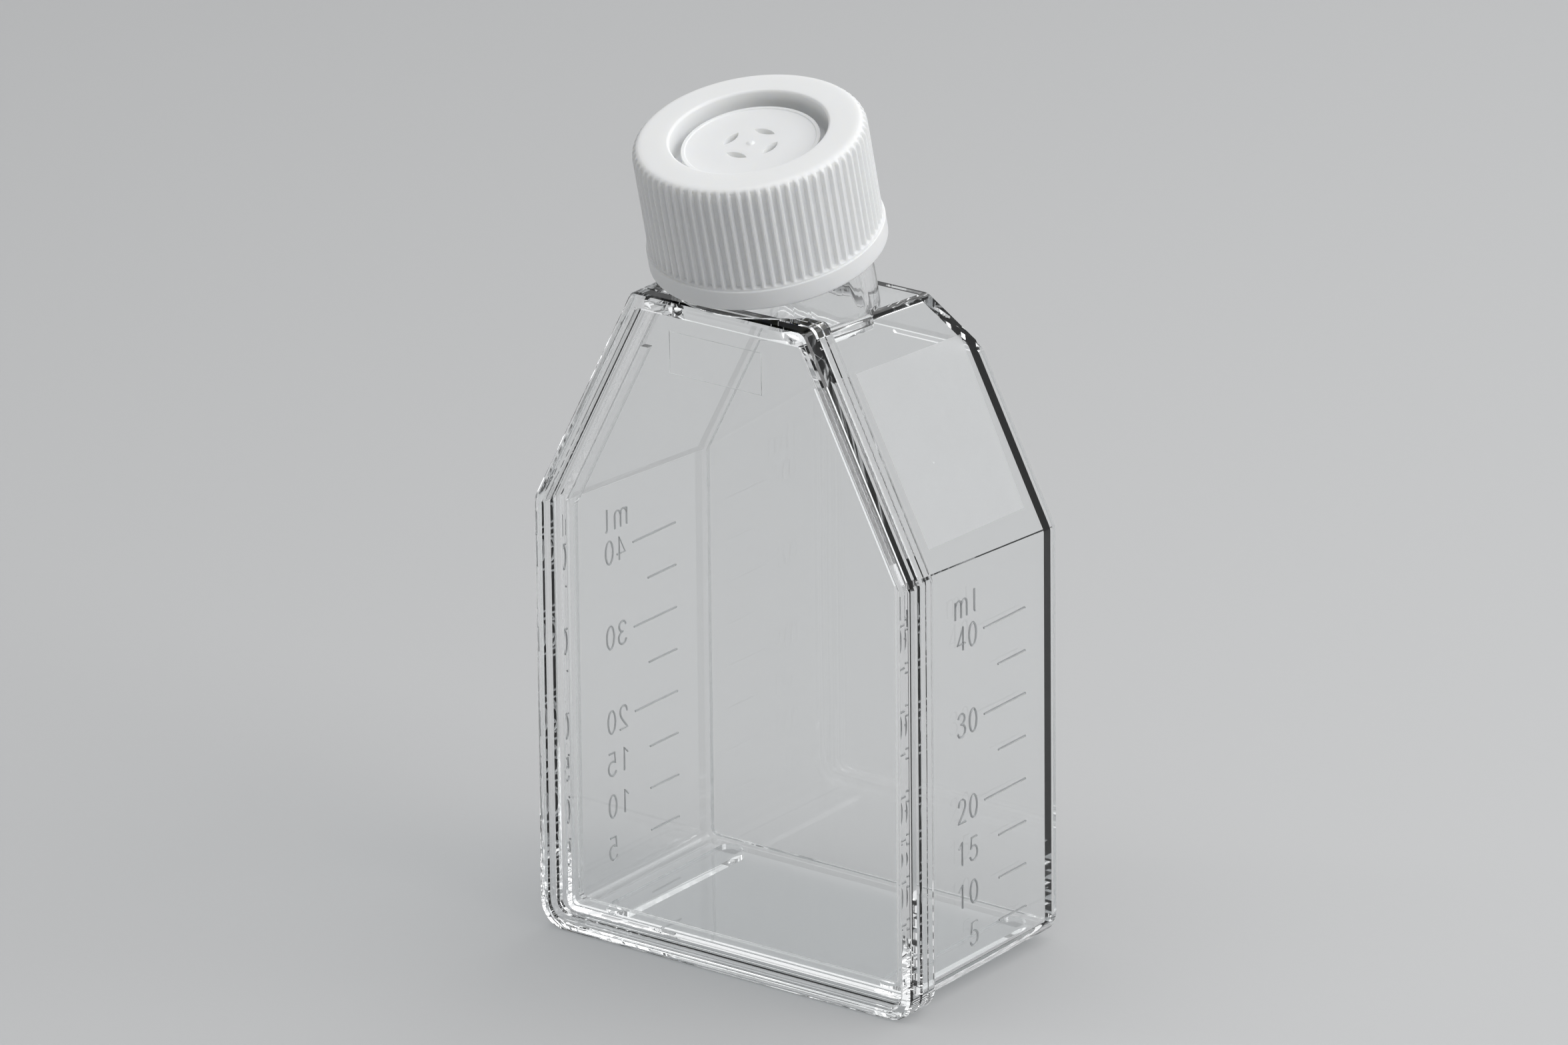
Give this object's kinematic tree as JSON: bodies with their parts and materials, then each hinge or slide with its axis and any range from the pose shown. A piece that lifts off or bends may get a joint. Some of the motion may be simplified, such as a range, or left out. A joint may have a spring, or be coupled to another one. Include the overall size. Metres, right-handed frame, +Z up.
{
  "type": "cell culture flask",
  "caption": "Clear flat-sided cell culture flask with a canted neck, a white ribbed screw cap with a vented centre, a raised stacking rim and graduated side walls.",
  "frame": {"origin": "on the standing plane, in the middle of the bottom edge of the tray's weld flange", "axes": "+Z up from the bottom end to the neck end, +Y from the lid (front) to the growth wall (back), +X to the right seen from the lid's side"},
  "size_m": [0.0484, 0.0341, 0.0942],
  "materials": {
    "clear_polystyrene": "clear, polished",
    "white_polyethylene": "satin white",
    "filter_membrane": "matt porous film"
  },
  "bodies": {
    "flask": {"flask_body": "clear_polystyrene", "lid_plate": "clear_polystyrene"},
    "filter": {"vent_membrane": "filter_membrane"},
    "cap": {"cap": "white_polyethylene"}
  },
  "joints": [
    {"name": "cap_rise", "type": "slide", "parent": "flask", "child": "filter", "axis": [0, -0.2334, 0.9724], "range_m": [0, 0.0144]},
    {"name": "cap_turn", "type": "hinge", "parent": "filter", "child": "cap", "pos_m": [0, 0.00269, 0.0896], "axis": [0, -0.2334, 0.9724], "range_deg": [0, 1620]}
  ],
  "couplings": [
    {"joint": "cap_rise", "follows": "cap_turn", "m_per_rad": 0.0005092}
  ]
}
